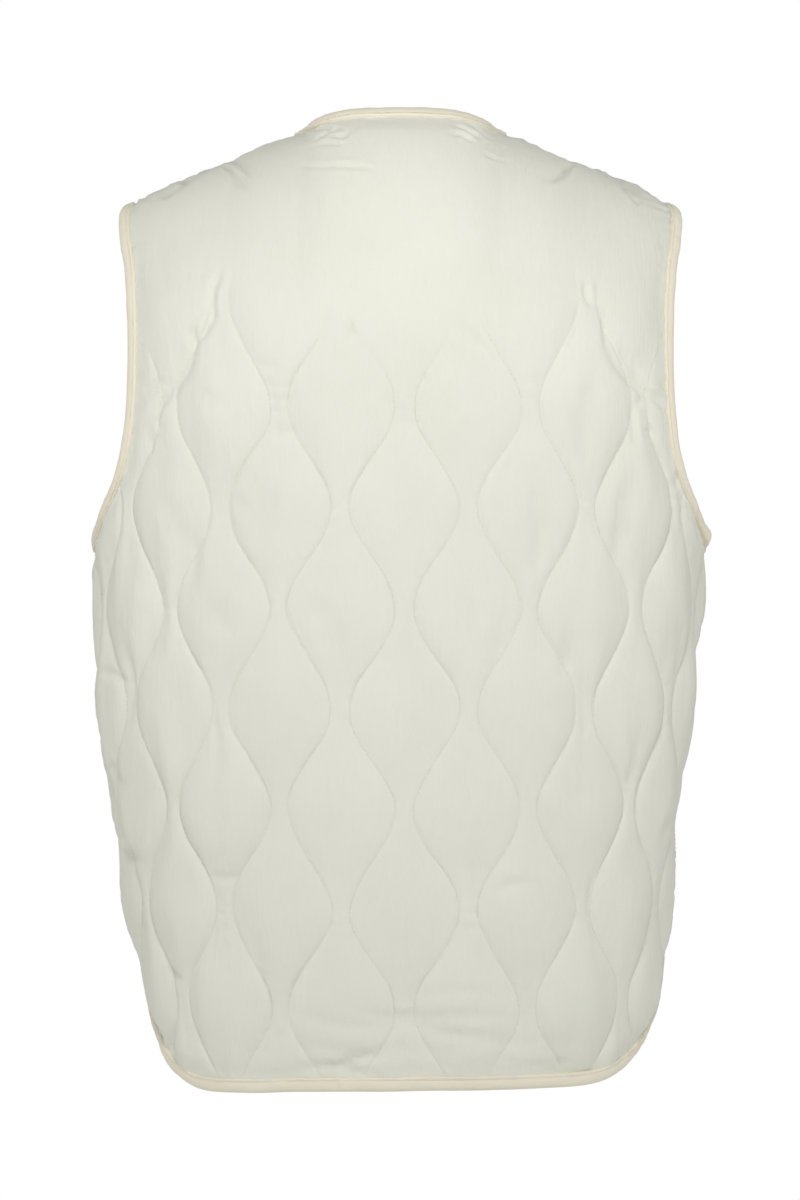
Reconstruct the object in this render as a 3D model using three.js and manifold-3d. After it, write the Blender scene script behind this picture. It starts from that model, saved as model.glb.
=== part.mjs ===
// Quilted vest, open at the neck, armholes, front and hem, filled out as if worn.
// Units are millimetres, +Z is up, the front of the garment faces -Y and its left side is at +X.
// The origin lies between the shoulders, at the height of the back neckline.

import * as THREE from 'three';
import Module from 'manifold-3d';

const wasm = await Module();
wasm.setup();

const DEGREE = Math.PI / 180;

// Cloth
const WALL = 2.6; // thickness along a quilting line
const PUFF = 5.2; // rise of the widest cell above a quilting line
const SEAM_GAP = 0.3;

// Quilting: mirrored wavy lines that run down the cloth and enclose onion-shaped cells
const LINE_PITCH = 43.6; // mean distance of two lines
const LINE_SWING = 15.4; // how far a line swings to each side
const ROW_PERIOD = 138.6; // height of one full wave
const ROW_LEVEL = -286.4; // height of a row whose middle cell is at its widest
const POINTS_PER_LINE = 3; // mesh columns from one line to the next
const ROWS_PER_WAVE = 8;
const ROW_STEP = ROW_PERIOD / ROWS_PER_WAVE;
const BACK_QUILT_SHIFT = -3; // the back's pattern sits a little to the right of its middle
const YOKE_PUFF = 2.4; // rise of the taut cloth over the shoulders, where no quilting shows
const YOKE_LOW = -115; // the quilting begins to show this far down
const YOKE_FADE = 70; // and is full this much lower
const YOKE_MIDDLE = 60; // half-width of the part where the taut cloth reaches further down

// Inner form of the garment: half-widths to each side and depths behind and before the side seams
const SECTIONS = [
  { z: -700, left: 171, right: 173, back: 148, front: 106 },
  { z: -671, left: 176, right: 178, back: 152, front: 108 },
  { z: -644, left: 181, right: 185, back: 155, front: 110 },
  { z: -614, left: 186, right: 189, back: 158, front: 113 },
  { z: -579, left: 193, right: 192, back: 161, front: 116 },
  { z: -550, left: 197, right: 195, back: 163, front: 118 },
  { z: -522, left: 203, right: 197, back: 165, front: 119 },
  { z: -486, left: 208, right: 201, back: 167, front: 120 },
  { z: -458, left: 214, right: 206, back: 168, front: 121 },
  { z: -418, left: 217, right: 210, back: 169, front: 121 },
  { z: -375, left: 218, right: 214, back: 170, front: 120 },
  { z: -330, left: 220, right: 218, back: 170, front: 118 },
  { z: -290, left: 222, right: 222, back: 170, front: 115 },
  { z: -240, left: 223, right: 224, back: 170, front: 112 },
];

// Shoulder ridge, where back and front meet, from the middle of the neck out to the shoulder tip
const RIDGE = [
  { x: 0, z: 20 },
  { x: 20, z: 18.5 },
  { x: 40, z: 13 },
  { x: 55, z: 3 },
  { x: 67, z: -8 },
  { x: 80, z: -14.5 },
  { x: 100, z: -22 },
  { x: 120, z: -31.5 },
  { x: 145, z: -41 },
  { x: 170, z: -51.5 },
  { x: 200, z: -65 },
  { x: 230, z: -80 },
];
// roll: height over which the shoulder rounds off; yoke: how much lower the yoke is in the middle
const BACK = { sign: 1, depth: 'back', roll: 190, yoke: 50 };
const FRONT = { sign: -1, depth: 'front', roll: 230, yoke: 0 };

// Armhole edge: how far it lies behind and before the side seam at each height
const ARMHOLE = [
  { z: -66, back: 0, front: 0 },
  { z: -74, back: 19, front: 14 },
  { z: -91, back: 37, front: 27 },
  { z: -118, back: 58, front: 43 },
  { z: -150, back: 73, front: 55 },
  { z: -192, back: 83, front: 62 },
  { z: -228, back: 84, front: 63 },
  { z: -254, back: 77, front: 58 },
  { z: -273, back: 63, front: 48 },
  { z: -288, back: 44, front: 34 },
  { z: -300, back: 21, front: 16 },
  { z: -305, back: 0, front: 0 },
];

// Neckline: the back half is nearly level, the front half is a shallow scoop
const NECK_BACK = [
  { x: 64, z: -6.5 },
  { x: 55, z: -4.5 },
  { x: 40, z: -3 },
  { x: 20, z: -2.5 },
  { x: 0, z: -2.5 },
];
const NECK_SHOULDER_X = 67.5;
const NECK_FRONT = [
  { x: 68.5, z: -14 },
  { x: 67, z: -29 },
  { x: 62, z: -46 },
  { x: 52, z: -63 },
  { x: 38, z: -77 },
  { x: 24, z: -87 },
  { x: 13, z: -94 },
  { x: 5.5, z: -101 },
  { x: 2, z: -110 },
];
const OPENING_X = 1; // each front edge stops this far from the middle
const NECK_END_Z = -128; // where the neck binding hands over to the front edge binding

// Hem, by the angle from the middle of the back or front round to the side seam
const BACK_HEM = [
  { angle: 0, left: -688.5, right: -688.5 },
  { angle: 20, left: -690.5, right: -689.5 },
  { angle: 38, left: -694.5, right: -691 },
  { angle: 48, left: -696.5, right: -691.5 },
  { angle: 56, left: -695.5, right: -689.5 },
  { angle: 63, left: -691, right: -684.5 },
  { angle: 70, left: -683.5, right: -677 },
  { angle: 77, left: -669, right: -664 },
  { angle: 82, left: -655, right: -650 },
  { angle: 86, left: -637, right: -633 },
  { angle: 90, left: -612, right: -612 },
  { angle: 96, left: -574, right: -574 },
];
const FRONT_HEM = [
  { angle: 0.8, z: -656 },
  { angle: 3, z: -670 },
  { angle: 7, z: -682 },
  { angle: 13, z: -688 },
  { angle: 22, z: -690 },
  { angle: 35, z: -690 },
  { angle: 48, z: -689 },
  { angle: 56, z: -686 },
  { angle: 63, z: -680 },
  { angle: 70, z: -672 },
  { angle: 77, z: -662 },
  { angle: 82, z: -650 },
  { angle: 86, z: -633 },
  { angle: 90, z: -612 },
  { angle: 96, z: -574 },
];
const FRONT_EDGE_HEIGHTS = [-200, -300, -400, -500, -590, -625, -641];

// Pocket mouth: a bound slit that slants down towards the side seam
const POCKET_MOUTH = [
  { angle: 58, z: -398 },
  { angle: 66.5, z: -445 },
  { angle: 76, z: -495 },
  { angle: 85.5, z: -541 },
];

// Binding: a bias strip folded over the edge; across runs from the edge into the cloth
const BINDING_WIDTH = 10;
const BINDING_SECTION = [
  { across: 0, out: 0.6 },
  { across: 0, out: 3.2 },
  { across: 2, out: 4.8 },
  { across: BINDING_WIDTH, out: 4.4 },
  { across: BINDING_WIDTH, out: -0.8 },
  { across: 2, out: -1 },
];
const BINDING_STEP = 19;
const NECK_STEP = 13;
const NECK_WIDENING = 0.4; // share by which the neck binding is wider round the back
const NECK_WIDE_FROM_Y = 75; // how far behind the shoulder seam it has that full width
const MOUTH_HALF = 6.5;
const MOUTH_STEP = 15;
const MOUTH_SECTION = [
  { across: -MOUTH_HALF, out: 0 },
  { across: -MOUTH_HALF, out: 6 },
  { across: -4.6, out: 8 },
  { across: -1.6, out: 7.6 },
  { across: 0, out: 4.6 },
  { across: 1.6, out: 7.6 },
  { across: 4.6, out: 8 },
  { across: MOUTH_HALF, out: 6 },
  { across: MOUTH_HALF, out: 0 },
];

// What a cut removes beside a strip: past the edge, below and above the cloth
const CUT_BEYOND = 12;
const CUT_OVERLAP = 2; // where one cut follows another
const CUT_BELOW = -9;
const CUT_ABOVE = 17;
const KEEP_MARGIN = 12; // cloth is laid out this far past an edge before it is cut
const KEEP_ANGLE = 95 * DEGREE; // and this far round from the middle, a little past the side seam
const ARMHOLE_NEAREST_X = 110; // no armhole comes nearer to the middle than this

const SHELL = new THREE.MeshStandardMaterial({ color: 0xe3e2d8, roughness: 0.9, metalness: 0 });
const TAPE = new THREE.MeshStandardMaterial({ color: 0xe6dfca, roughness: 0.85, metalness: 0 });

// Value of a table's column at a place between its rows, on a smooth curve
function tableValue(rows, key, column, at) {
  const last = rows.length - 1;
  if (at <= rows[0][key]) return rows[0][column];
  if (at >= rows[last][key]) return rows[last][column];
  let i = 0;
  while (rows[i + 1][key] < at) i += 1;
  const slope = (j) => {
    const low = rows[Math.max(j - 1, 0)];
    const high = rows[Math.min(j + 1, last)];
    return (high[column] - low[column]) / (high[key] - low[key]);
  };
  const span = rows[i + 1][key] - rows[i][key];
  const t = (at - rows[i][key]) / span;
  const start = rows[i][column];
  const rise = rows[i + 1][column] - start;
  const startSlope = slope(i) * span;
  const endSlope = slope(i + 1) * span;
  const square = 3 * rise - 2 * startSlope - endSlope;
  const cube = startSlope + endSlope - 2 * rise;
  return start + t * (startSlope + t * (square + t * cube));
}

function halfWidth(z, onLeft) {
  return tableValue(SECTIONS, 'z', onLeft ? 'left' : 'right', z);
}

function sideDepth(side, z) {
  return tableValue(SECTIONS, 'z', side.depth, z);
}

function ridgeHeight(x) {
  return tableValue(RIDGE, 'x', 'z', Math.abs(x));
}

// Share of its full depth that the form has this far below the shoulder ridge, squared
function rollSquare(side, x, z) {
  const t = Math.min(Math.max((ridgeHeight(x) - z) / side.roll, 0), 1);
  return t * (2 - t);
}

// Zero on the form, positive outside it
function formLevel(side, x, y, z) {
  const across = x / halfWidth(z, x > 0);
  const reach = sideDepth(side, z);
  return y * y - reach * reach * rollSquare(side, x, z) * (1 - across * across);
}

function formNormal(side, point) {
  const step = 0.5;
  const { x, y, z } = point;
  return new THREE.Vector3(
    formLevel(side, x + step, y, z) - formLevel(side, x - step, y, z),
    formLevel(side, x, y + step, z) - formLevel(side, x, y - step, z),
    formLevel(side, x, y, z + step) - formLevel(side, x, y, z - step),
  ).normalize();
}

// Point of the form at a height, by the signed angle from the middle of the back or front
function pointAtAngle(side, angle, z) {
  const x = halfWidth(z, angle > 0) * Math.sin(angle);
  const y = side.sign * sideDepth(side, z) * Math.sqrt(rollSquare(side, x, z)) * Math.cos(angle);
  return new THREE.Vector3(x, y, z);
}

function pointAtX(side, x, z) {
  return pointAtAngle(side, Math.asin(x / halfWidth(z, x > 0)), z);
}

// Point of the form on the left, by its distance before or behind the side seam
function pointAtDepth(side, depth, z, onLeft) {
  const direction = onLeft ? 1 : -1;
  let inside = 0;
  let outside = halfWidth(z, onLeft);
  while (outside - inside > 1e-6) {
    const middle = (inside + outside) / 2;
    if (formLevel(side, direction * middle, depth, z) < 0) inside = middle;
    else outside = middle;
  }
  return new THREE.Vector3(direction * outside, side.sign * depth, z);
}

// Angle round an elliptical section at which this much cloth has been laid from its middle
function angleAtLength(length, width, reach) {
  const step = DEGREE;
  let angle = 0;
  let laid = 0;
  while (laid < length) {
    const middle = angle + step / 2;
    const piece = Math.hypot(width * Math.cos(middle), reach * Math.sin(middle)) * step;
    if (laid + piece >= length) return angle + (step * (length - laid)) / piece;
    laid += piece;
    angle += step;
  }
  return angle;
}

function quarterEllipse(a, b) {
  return (Math.PI / 4) * (3 * (a + b) - Math.sqrt((3 * a + b) * (a + 3 * b)));
}

// Point of the form that a point of the cloth lies on: across from the middle, along in height.
// Above the level where the shoulder begins to round off, along is measured on the cloth.
function clothPoint(side, across, along) {
  const onLeft = across > 0;
  const width = halfWidth(along, onLeft);
  const reach = sideDepth(side, along);
  const angle = angleAtLength(Math.abs(across), width, reach);
  const x = (onLeft ? 1 : -1) * width * Math.sin(angle);
  const depth = reach * Math.cos(angle);
  const rollStart = ridgeHeight(x) - side.roll;
  if (along <= rollStart) return { point: new THREE.Vector3(x, side.sign * depth, along), past: 0, angle };
  const quarter = quarterEllipse(side.roll, Math.abs(depth));
  const turn = (Math.PI / 2) * (1 - (along - rollStart) / quarter);
  const y = side.sign * depth * Math.sin(turn);
  const z = rollStart + side.roll * Math.cos(turn);
  return { point: new THREE.Vector3(x, y, z), past: along - rollStart - quarter, angle };
}

// Place of a quilting line across the cloth at a height
function quiltLine(index, along) {
  const swing = LINE_SWING * Math.cos((2 * Math.PI * (along - ROW_LEVEL)) / ROW_PERIOD);
  return (index - 0.5) * LINE_PITCH + (index % 2 === 0 ? -swing : swing);
}

// Share of taut cloth: one over the shoulders, zero where the quilting is full
function yokeShare(side, across, along) {
  const start = YOKE_LOW - side.yoke * Math.exp(-((across / YOKE_MIDDLE) ** 2));
  return THREE.MathUtils.smoothstep(along, start - YOKE_FADE, start);
}

// Mesh point of the cloth: its place across and along, and how far the padding lifts it
function quiltPoint(side, column, row, shift) {
  const line = Math.floor(column / POINTS_PER_LINE);
  const share = column / POINTS_PER_LINE - line;
  const along = ROW_LEVEL + row * ROW_STEP;
  const from = quiltLine(line, along);
  const width = quiltLine(line + 1, along) - from;
  const fullness = (width / (LINE_PITCH + 2 * LINE_SWING)) ** 0.8;
  const quilted = PUFF * fullness * (4 * share * (1 - share)) ** 0.7;
  const across = from + share * width + shift;
  const lift = THREE.MathUtils.lerp(quilted, YOKE_PUFF, yokeShare(side, across, along));
  return { across, along, lift };
}

// Whether a point of the form lies well inside an armhole, where no cloth is needed
function insideArmhole(side, point) {
  const edge = tableValue([...ARMHOLE].reverse(), 'z', side.depth, point.z);
  const low = ARMHOLE[ARMHOLE.length - 1].z + KEEP_MARGIN;
  const level = Math.abs(point.x) > ARMHOLE_NEAREST_X && point.z > low;
  return level && side.sign * point.y < edge - KEEP_MARGIN;
}

// Closed wall of quilted cloth, laid out a little past its edges in blocks of two by two cells.
// The outer side has a point for each cell corner, the plain inner side one for each block corner.
function quiltedWall(side, columns, rows, shift) {
  const positions = [];
  const triangles = [];
  const known = new Map();
  const places = new Map();

  function place(column, row) {
    const key = `${column},${row}`;
    if (!places.has(key)) {
      const spot = quiltPoint(side, column, row, shift);
      places.set(key, { ...spot, ...clothPoint(side, spot.across, spot.along) });
    }
    return places.get(key);
  }

  function vertex(layer, column, row) {
    const key = `${layer},${column},${row}`;
    if (!known.has(key)) {
      const { point, lift } = place(column, row);
      const normal = formNormal(side, point);
      const out = layer === 'outer' ? WALL + lift : 0;
      known.set(key, positions.length / 3);
      positions.push(...point.clone().addScaledVector(normal, out).toArray());
    }
    return known.get(key);
  }

  function needed(column, row) {
    const corners = [[0, 0], [2, 0], [0, 2], [2, 2]].map(([i, j]) => place(column + i, row + j));
    if (corners.every((corner) => corner.past > KEEP_MARGIN)) return false;
    if (corners.every((corner) => corner.angle > KEEP_ANGLE)) return false;
    return !corners.every((corner) => insideArmhole(side, corner.point));
  }

  const blocks = new Set();
  for (let column = columns.from; column < columns.to; column += 2) {
    for (let row = rows.from; row < rows.to; row += 2) {
      if (needed(column, row)) blocks.add(`${column},${row}`);
    }
  }
  const has = (column, row) => blocks.has(`${column},${row}`);
  for (let column = columns.from; column < columns.to; column += 2) {
    for (let row = rows.from; row < rows.to; row += 2) {
      const rising = has(column, row) && has(column + 2, row + 2);
      const falling = has(column + 2, row) && has(column, row + 2);
      if (rising !== falling) {
        if (rising && !has(column + 2, row) && !has(column, row + 2)) blocks.add(`${column + 2},${row}`);
        if (falling && !has(column, row) && !has(column + 2, row + 2)) blocks.add(`${column},${row}`);
      }
    }
  }

  for (const block of blocks) {
    const [column, row] = block.split(',').map(Number);
    const outer = (i, j) => vertex('outer', column + i, row + j);
    const inner = (i, j) => vertex('inner', column + i, row + j);
    for (let i = 0; i < 2; i += 1) {
      for (let j = 0; j < 2; j += 1) {
        triangles.push(outer(i, j), outer(i + 1, j), outer(i + 1, j + 1));
        triangles.push(outer(i, j), outer(i + 1, j + 1), outer(i, j + 1));
      }
    }
    triangles.push(inner(0, 0), inner(2, 2), inner(2, 0));
    triangles.push(inner(0, 0), inner(0, 2), inner(2, 2));
    const rims = [
      { column: 0, row: -2, points: [[0, 0], [1, 0], [2, 0]] },
      { column: 2, row: 0, points: [[2, 0], [2, 1], [2, 2]] },
      { column: 0, row: 2, points: [[2, 2], [1, 2], [0, 2]] },
      { column: -2, row: 0, points: [[0, 2], [0, 1], [0, 0]] },
    ];
    for (const rim of rims) {
      if (has(column + rim.column, row + rim.row)) continue;
      const [start, middle, end] = rim.points;
      triangles.push(outer(...middle), outer(...start), inner(...start));
      triangles.push(outer(...middle), inner(...start), inner(...end));
      triangles.push(outer(...end), outer(...middle), inner(...end));
    }
  }
  return solid(positions, triangles);
}

// Manifold solid from shared points, turned so that its faces point out
function solid(positions, triangles) {
  let volume = 0;
  const corner = (i) => new THREE.Vector3().fromArray(positions, 3 * triangles[i]);
  for (let i = 0; i < triangles.length; i += 3) {
    volume += corner(i).dot(corner(i + 1).cross(corner(i + 2))) / 6;
  }
  if (volume < 0) triangles.reverse();
  return new wasm.Manifold(new wasm.Mesh({
    numProp: 3,
    vertProperties: new Float32Array(positions),
    triVerts: new Uint32Array(triangles),
  }));
}

function solidOfGeometry(geometry) {
  const position = geometry.getAttribute('position');
  const known = new Map();
  const positions = [];
  const triangles = [];
  for (let i = 0; i < geometry.index.count; i += 1) {
    const point = new THREE.Vector3().fromBufferAttribute(position, geometry.index.getX(i));
    const key = point.toArray().map((value) => value.toFixed(3)).join();
    if (!known.has(key)) {
      known.set(key, positions.length / 3);
      positions.push(...point.toArray());
    }
    triangles.push(known.get(key));
  }
  return solid(positions, triangles);
}

// Frames along an edge curve: the place, the direction into the cloth and the direction out of it
function edgeFrames(points, closed, step, towardsCloth) {
  const curve = new THREE.CatmullRomCurve3(points, closed, 'centripetal');
  curve.arcLengthDivisions = 400;
  const count = Math.round(curve.getLength() / step);
  const places = curve.getSpacedPoints(count);
  if (closed) places.pop();
  const at = (i) => {
    if (closed) return places[(i + places.length) % places.length];
    return places[Math.min(Math.max(i, 0), places.length - 1)];
  };
  const frames = places.map((place, i) => {
    const tangent = at(i + 1).clone().sub(at(i - 1)).normalize();
    const out = formNormal(place.y > 0 ? BACK : FRONT, place);
    out.addScaledVector(tangent, -out.dot(tangent)).normalize();
    return { place, across: tangent.clone().cross(out), out };
  });
  if (frames[0].across.dot(towardsCloth) < 0) frames.forEach((frame) => frame.across.negate());
  return frames;
}

// Solid swept along frames with one section; an open one is capped at both ends
function sweep(frames, section, closed) {
  const positions = [];
  const triangles = [];
  const size = section.length;
  for (const { place, across, out } of frames) {
    for (const spot of section) {
      const point = place.clone().addScaledVector(across, spot.across).addScaledVector(out, spot.out);
      positions.push(...point.toArray());
    }
  }
  const spans = closed ? frames.length : frames.length - 1;
  for (let i = 0; i < spans; i += 1) {
    const next = (i + 1) % frames.length;
    for (let j = 0; j < size; j += 1) {
      const [a, b] = [i * size + j, i * size + ((j + 1) % size)];
      const [c, d] = [next * size + j, next * size + ((j + 1) % size)];
      triangles.push(a, b, d, a, d, c);
    }
  }
  if (!closed) {
    const outline = section.map((spot) => new THREE.Vector2(spot.across, spot.out));
    const clockwise = THREE.ShapeUtils.isClockWise(outline);
    const far = (frames.length - 1) * size;
    for (const face of THREE.ShapeUtils.triangulateShape(outline, [])) {
      const same = THREE.ShapeUtils.isClockWise(face.map((i) => outline[i])) === clockwise;
      const [a, b, c] = same ? face : [face[2], face[1], face[0]];
      triangles.push(c, b, a);
      triangles.push(far + a, far + b, far + c);
    }
  }
  return solid(positions, triangles);
}

// Section of the cut beside a strip. Its walls bend where the strip's sides do, so that the gap is even.
function cutSection(section, from, to) {
  const corners = (limit) => section.filter((spot) => spot.across === limit).map((spot) => spot.out);
  const low = Math.min(...section.map((spot) => spot.across));
  const high = Math.max(...section.map((spot) => spot.across));
  const rising = [CUT_BELOW, ...corners(low), CUT_ABOVE];
  const falling = [CUT_ABOVE, ...corners(high), CUT_BELOW];
  return [
    ...rising.map((out) => ({ across: from, out })),
    ...falling.map((out) => ({ across: to, out })),
  ];
}

const EDGE_CUT = cutSection(BINDING_SECTION, -CUT_BEYOND, BINDING_WIDTH + SEAM_GAP);
const MOUTH_CUT = cutSection(MOUTH_SECTION, -MOUTH_HALF - SEAM_GAP, MOUTH_HALF + SEAM_GAP);

// Box that holds everything behind (sign 1) or before (sign -1) the side and shoulder seams
function halfSpace(sign) {
  const size = 1600;
  const box = new THREE.BoxGeometry(size, size, size);
  box.translate(0, (sign * (size + SEAM_GAP)) / 2, 0);
  return solidOfGeometry(box);
}

const behind = halfSpace(1);
const before = halfSpace(-1);

function largestPiece(shape) {
  return shape.decompose().reduce((best, piece) => (piece.volume() > best.volume() ? piece : best));
}

// Edge curves
function mirrored(points) {
  return points.map((point) => new THREE.Vector3(-point.x, point.y, point.z));
}

function neckPoints() {
  const shoulder = pointAtX(FRONT, NECK_SHOULDER_X, ridgeHeight(NECK_SHOULDER_X));
  const front = NECK_FRONT.map((row) => pointAtX(FRONT, row.x, row.z)).reverse();
  const end = pointAtX(FRONT, OPENING_X, NECK_END_Z);
  const back = NECK_BACK.map((row) => pointAtX(BACK, row.x, row.z));
  const left = [end, ...front, shoulder, ...back];
  return [...left, ...mirrored(left.slice(0, -1)).reverse()];
}

function armholePoints(onLeft) {
  const down = ARMHOLE.map((row) => pointAtDepth(BACK, row.back, row.z, onLeft));
  const up = ARMHOLE.slice(1, -1).map((row) => pointAtDepth(FRONT, row.front, row.z, onLeft));
  return [...down, ...up.reverse()];
}

function backHemPoints() {
  const left = BACK_HEM.map((row) => pointAtAngle(BACK, row.angle * DEGREE, row.left));
  const right = BACK_HEM.map((row) => pointAtAngle(BACK, -row.angle * DEGREE, row.right));
  return [...left.reverse(), ...right.slice(1)];
}

function frontEdgePoints(sign) {
  const top = pointAtX(FRONT, sign * OPENING_X, NECK_END_Z - SEAM_GAP);
  const edge = FRONT_EDGE_HEIGHTS.map((z) => pointAtX(FRONT, sign * OPENING_X, z));
  const hem = FRONT_HEM.map((row) => pointAtAngle(FRONT, sign * row.angle * DEGREE, row.z));
  return [top, ...edge, ...hem];
}

function pocketPoints(sign) {
  return POCKET_MOUTH.map((row) => pointAtAngle(FRONT, sign * row.angle * DEGREE, row.z));
}

const toLeft = new THREE.Vector3(1, 0, 0);
const toRight = new THREE.Vector3(-1, 0, 0);
const toBack = new THREE.Vector3(0, 1, 0);

const neckFrames = edgeFrames(neckPoints(), false, NECK_STEP, toLeft);
const armholeFrames = {
  left: edgeFrames(armholePoints(true), true, BINDING_STEP, toRight),
  right: edgeFrames(armholePoints(false), true, BINDING_STEP, toLeft),
};
const backHemFrames = edgeFrames(backHemPoints(), false, BINDING_STEP, toBack);
const frontEdgeFrames = {
  left: edgeFrames(frontEdgePoints(1), false, BINDING_STEP, toLeft),
  right: edgeFrames(frontEdgePoints(-1), false, BINDING_STEP, toRight),
};
const pocketFrames = {
  left: edgeFrames(pocketPoints(1), false, MOUTH_STEP, toLeft),
  right: edgeFrames(pocketPoints(-1), false, MOUTH_STEP, toRight),
};

// Round the back the neck binding is wider: its section is stretched into the cloth there
neckFrames.forEach((frame) => {
  const share = Math.min(Math.max(frame.place.y / NECK_WIDE_FROM_Y, 0), 1);
  frame.across.multiplyScalar(1 + NECK_WIDENING * share);
});

// The neck binding ends square to the front edge bindings that it meets
function matchEnd(frame, neighbour) {
  frame.across.copy(neighbour.across);
  frame.out.copy(neighbour.out);
}
matchEnd(neckFrames[0], frontEdgeFrames.left[0]);
matchEnd(neckFrames[neckFrames.length - 1], frontEdgeFrames.right[0]);

// Frames of a cut that runs on a little past both of its strip's ends
function lengthened(frames, extra) {
  const grow = (end, next) => {
    const direction = end.place.clone().sub(next.place).normalize();
    return { ...end, place: end.place.clone().addScaledVector(direction, extra) };
  };
  const last = frames.length - 1;
  return [grow(frames[0], frames[1]), ...frames.slice(1, -1), grow(frames[last], frames[last - 1])];
}

// The neck's two ends run side by side, so its cut is made in two halves that each stay simple
const neckMiddle = Math.floor(neckFrames.length / 2);
const neckCuts = [neckFrames.slice(0, neckMiddle + 1), neckFrames.slice(neckMiddle)]
  .map((frames) => sweep(frames, EDGE_CUT, false));
const armholeCuts = [armholeFrames.left, armholeFrames.right].map((frames) => sweep(frames, EDGE_CUT, true));
const backHemCut = sweep(backHemFrames, EDGE_CUT, false);

function frontCuts(side) {
  const edge = lengthened(frontEdgeFrames[side], CUT_OVERLAP);
  const mouth = lengthened(pocketFrames[side], SEAM_GAP);
  return [sweep(edge, EDGE_CUT, false), sweep(mouth, MOUTH_CUT, false)];
}

function cutPanel(wall, half, cuts) {
  const cut = [...neckCuts, ...armholeCuts, ...cuts].reduce((shape, tool) => shape.subtract(tool), wall);
  return largestPiece(cut.intersect(half));
}

const ROWS = { from: -26, to: 30 };
const backWall = quiltedWall(BACK, { from: -24, to: 26 }, ROWS, BACK_QUILT_SHIFT);
const frontWalls = {
  left: quiltedWall(FRONT, { from: -2, to: 24 }, ROWS, 0),
  right: quiltedWall(FRONT, { from: -22, to: 4 }, ROWS, 0),
};

const vest = new THREE.Group();

function addPiece(name, shape, material) {
  const mesh = shape.getMesh();
  const geometry = new THREE.BufferGeometry();
  geometry.setAttribute('position', new THREE.BufferAttribute(mesh.vertProperties, 3));
  geometry.setIndex(new THREE.BufferAttribute(mesh.triVerts, 1));
  geometry.computeVertexNormals();
  const piece = new THREE.Mesh(geometry, material);
  piece.name = name;
  vest.add(piece);
}

addPiece('back_panel', cutPanel(backWall, behind, [backHemCut]), SHELL);
addPiece('neck_binding', sweep(neckFrames, BINDING_SECTION, false), TAPE);
addPiece('back_hem_binding', sweep(backHemFrames, BINDING_SECTION, false).intersect(behind), TAPE);
for (const side of ['left', 'right']) {
  addPiece(`front_panel_${side}`, cutPanel(frontWalls[side], before, frontCuts(side)), SHELL);
  addPiece(`armhole_binding_${side}`, sweep(armholeFrames[side], BINDING_SECTION, true), TAPE);
  addPiece(`front_binding_${side}`, sweep(frontEdgeFrames[side], BINDING_SECTION, false).intersect(before), TAPE);
  addPiece(`pocket_mouth_${side}`, sweep(pocketFrames[side], MOUTH_SECTION, false), TAPE);
}

export default vest;
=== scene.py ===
# Quilted vest, seen from behind: dense quilted panels, bound edges, stitches, cloth and studio.
# The garment's tables are in millimetres, as in the part's source. Everything built is in metres.

import math

import bmesh
import bpy
import numpy as np
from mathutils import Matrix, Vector
from mathutils.kdtree import KDTree


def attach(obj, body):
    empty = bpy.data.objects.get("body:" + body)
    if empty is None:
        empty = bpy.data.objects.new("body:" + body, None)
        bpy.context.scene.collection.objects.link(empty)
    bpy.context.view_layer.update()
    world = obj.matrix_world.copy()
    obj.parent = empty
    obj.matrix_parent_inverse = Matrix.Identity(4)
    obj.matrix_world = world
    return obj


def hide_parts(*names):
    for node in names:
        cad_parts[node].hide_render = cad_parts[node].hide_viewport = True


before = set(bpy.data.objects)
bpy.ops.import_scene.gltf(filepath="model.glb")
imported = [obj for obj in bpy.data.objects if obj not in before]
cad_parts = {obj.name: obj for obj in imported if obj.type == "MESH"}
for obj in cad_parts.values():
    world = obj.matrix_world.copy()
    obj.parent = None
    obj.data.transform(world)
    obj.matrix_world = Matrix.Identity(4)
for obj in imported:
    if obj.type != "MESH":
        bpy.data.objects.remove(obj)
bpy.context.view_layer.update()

MM = 0.001
TAU = 2 * math.pi

# Camera: the photograph's view from behind, from about 2.5 m, level with the middle of the vest
CAMERA_DISTANCE = 2.5
CAMERA_HEIGHT = -0.350
FRAME_HEIGHT = 0.882  # what the picture's height covers at the side seams
SENSOR_HEIGHT = 24.0

# Cloth
WALL = 2.6  # thickness of the flat cloth
PUFF = 5.6  # rise of the padding in the middle of a wide strip
LINE_PITCH = 43.6  # mean distance between the quilting lines
LINE_SWING = 15.4  # how far each line swings to either side
ROW_PERIOD = 138.6  # height of one whole swing
ROW_LEVEL = -286.4  # a height at which the lines swing furthest
BACK_QUILT_SHIFT = -3.0  # how far the back's lines lie off its middle
LINE_WANDER = 0.7  # how far a sewn line strays from its curve
GROOVE = 0.34  # how deep the thread pulls the cloth in along a line
YOKE_PUFF = 2.4  # rise of the taut cloth over the shoulders, where no quilting shows
YOKE_LOW = -115.0  # the quilting begins to show this far down
YOKE_FADE = 70.0  # and is full this much lower
YOKE_MIDDLE = 60.0  # half-width of the part where the taut cloth reaches further down
EDGE_FADE = 16.0  # how far from a tape the padding has its full height
SEAM_FADE = 12.0  # and how far from a side or shoulder seam

# Inner form: height, half-width on the left and right, depth behind and before the side seams
SECTIONS = np.array([
    (-700, 171, 173, 148, 106), (-671, 176, 178, 152, 108), (-644, 181, 185, 155, 110),
    (-614, 186, 189, 158, 113), (-579, 193, 192, 161, 116), (-550, 197, 195, 163, 118),
    (-522, 203, 197, 165, 119), (-486, 208, 201, 167, 120), (-458, 214, 206, 168, 121),
    (-418, 217, 210, 169, 121), (-375, 218, 214, 170, 120), (-330, 220, 218, 170, 118),
    (-290, 222, 222, 170, 115), (-240, 223, 224, 170, 112),
], dtype=float)
LEFT, RIGHT, BACK_DEPTH, FRONT_DEPTH = 1, 2, 3, 4

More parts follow.
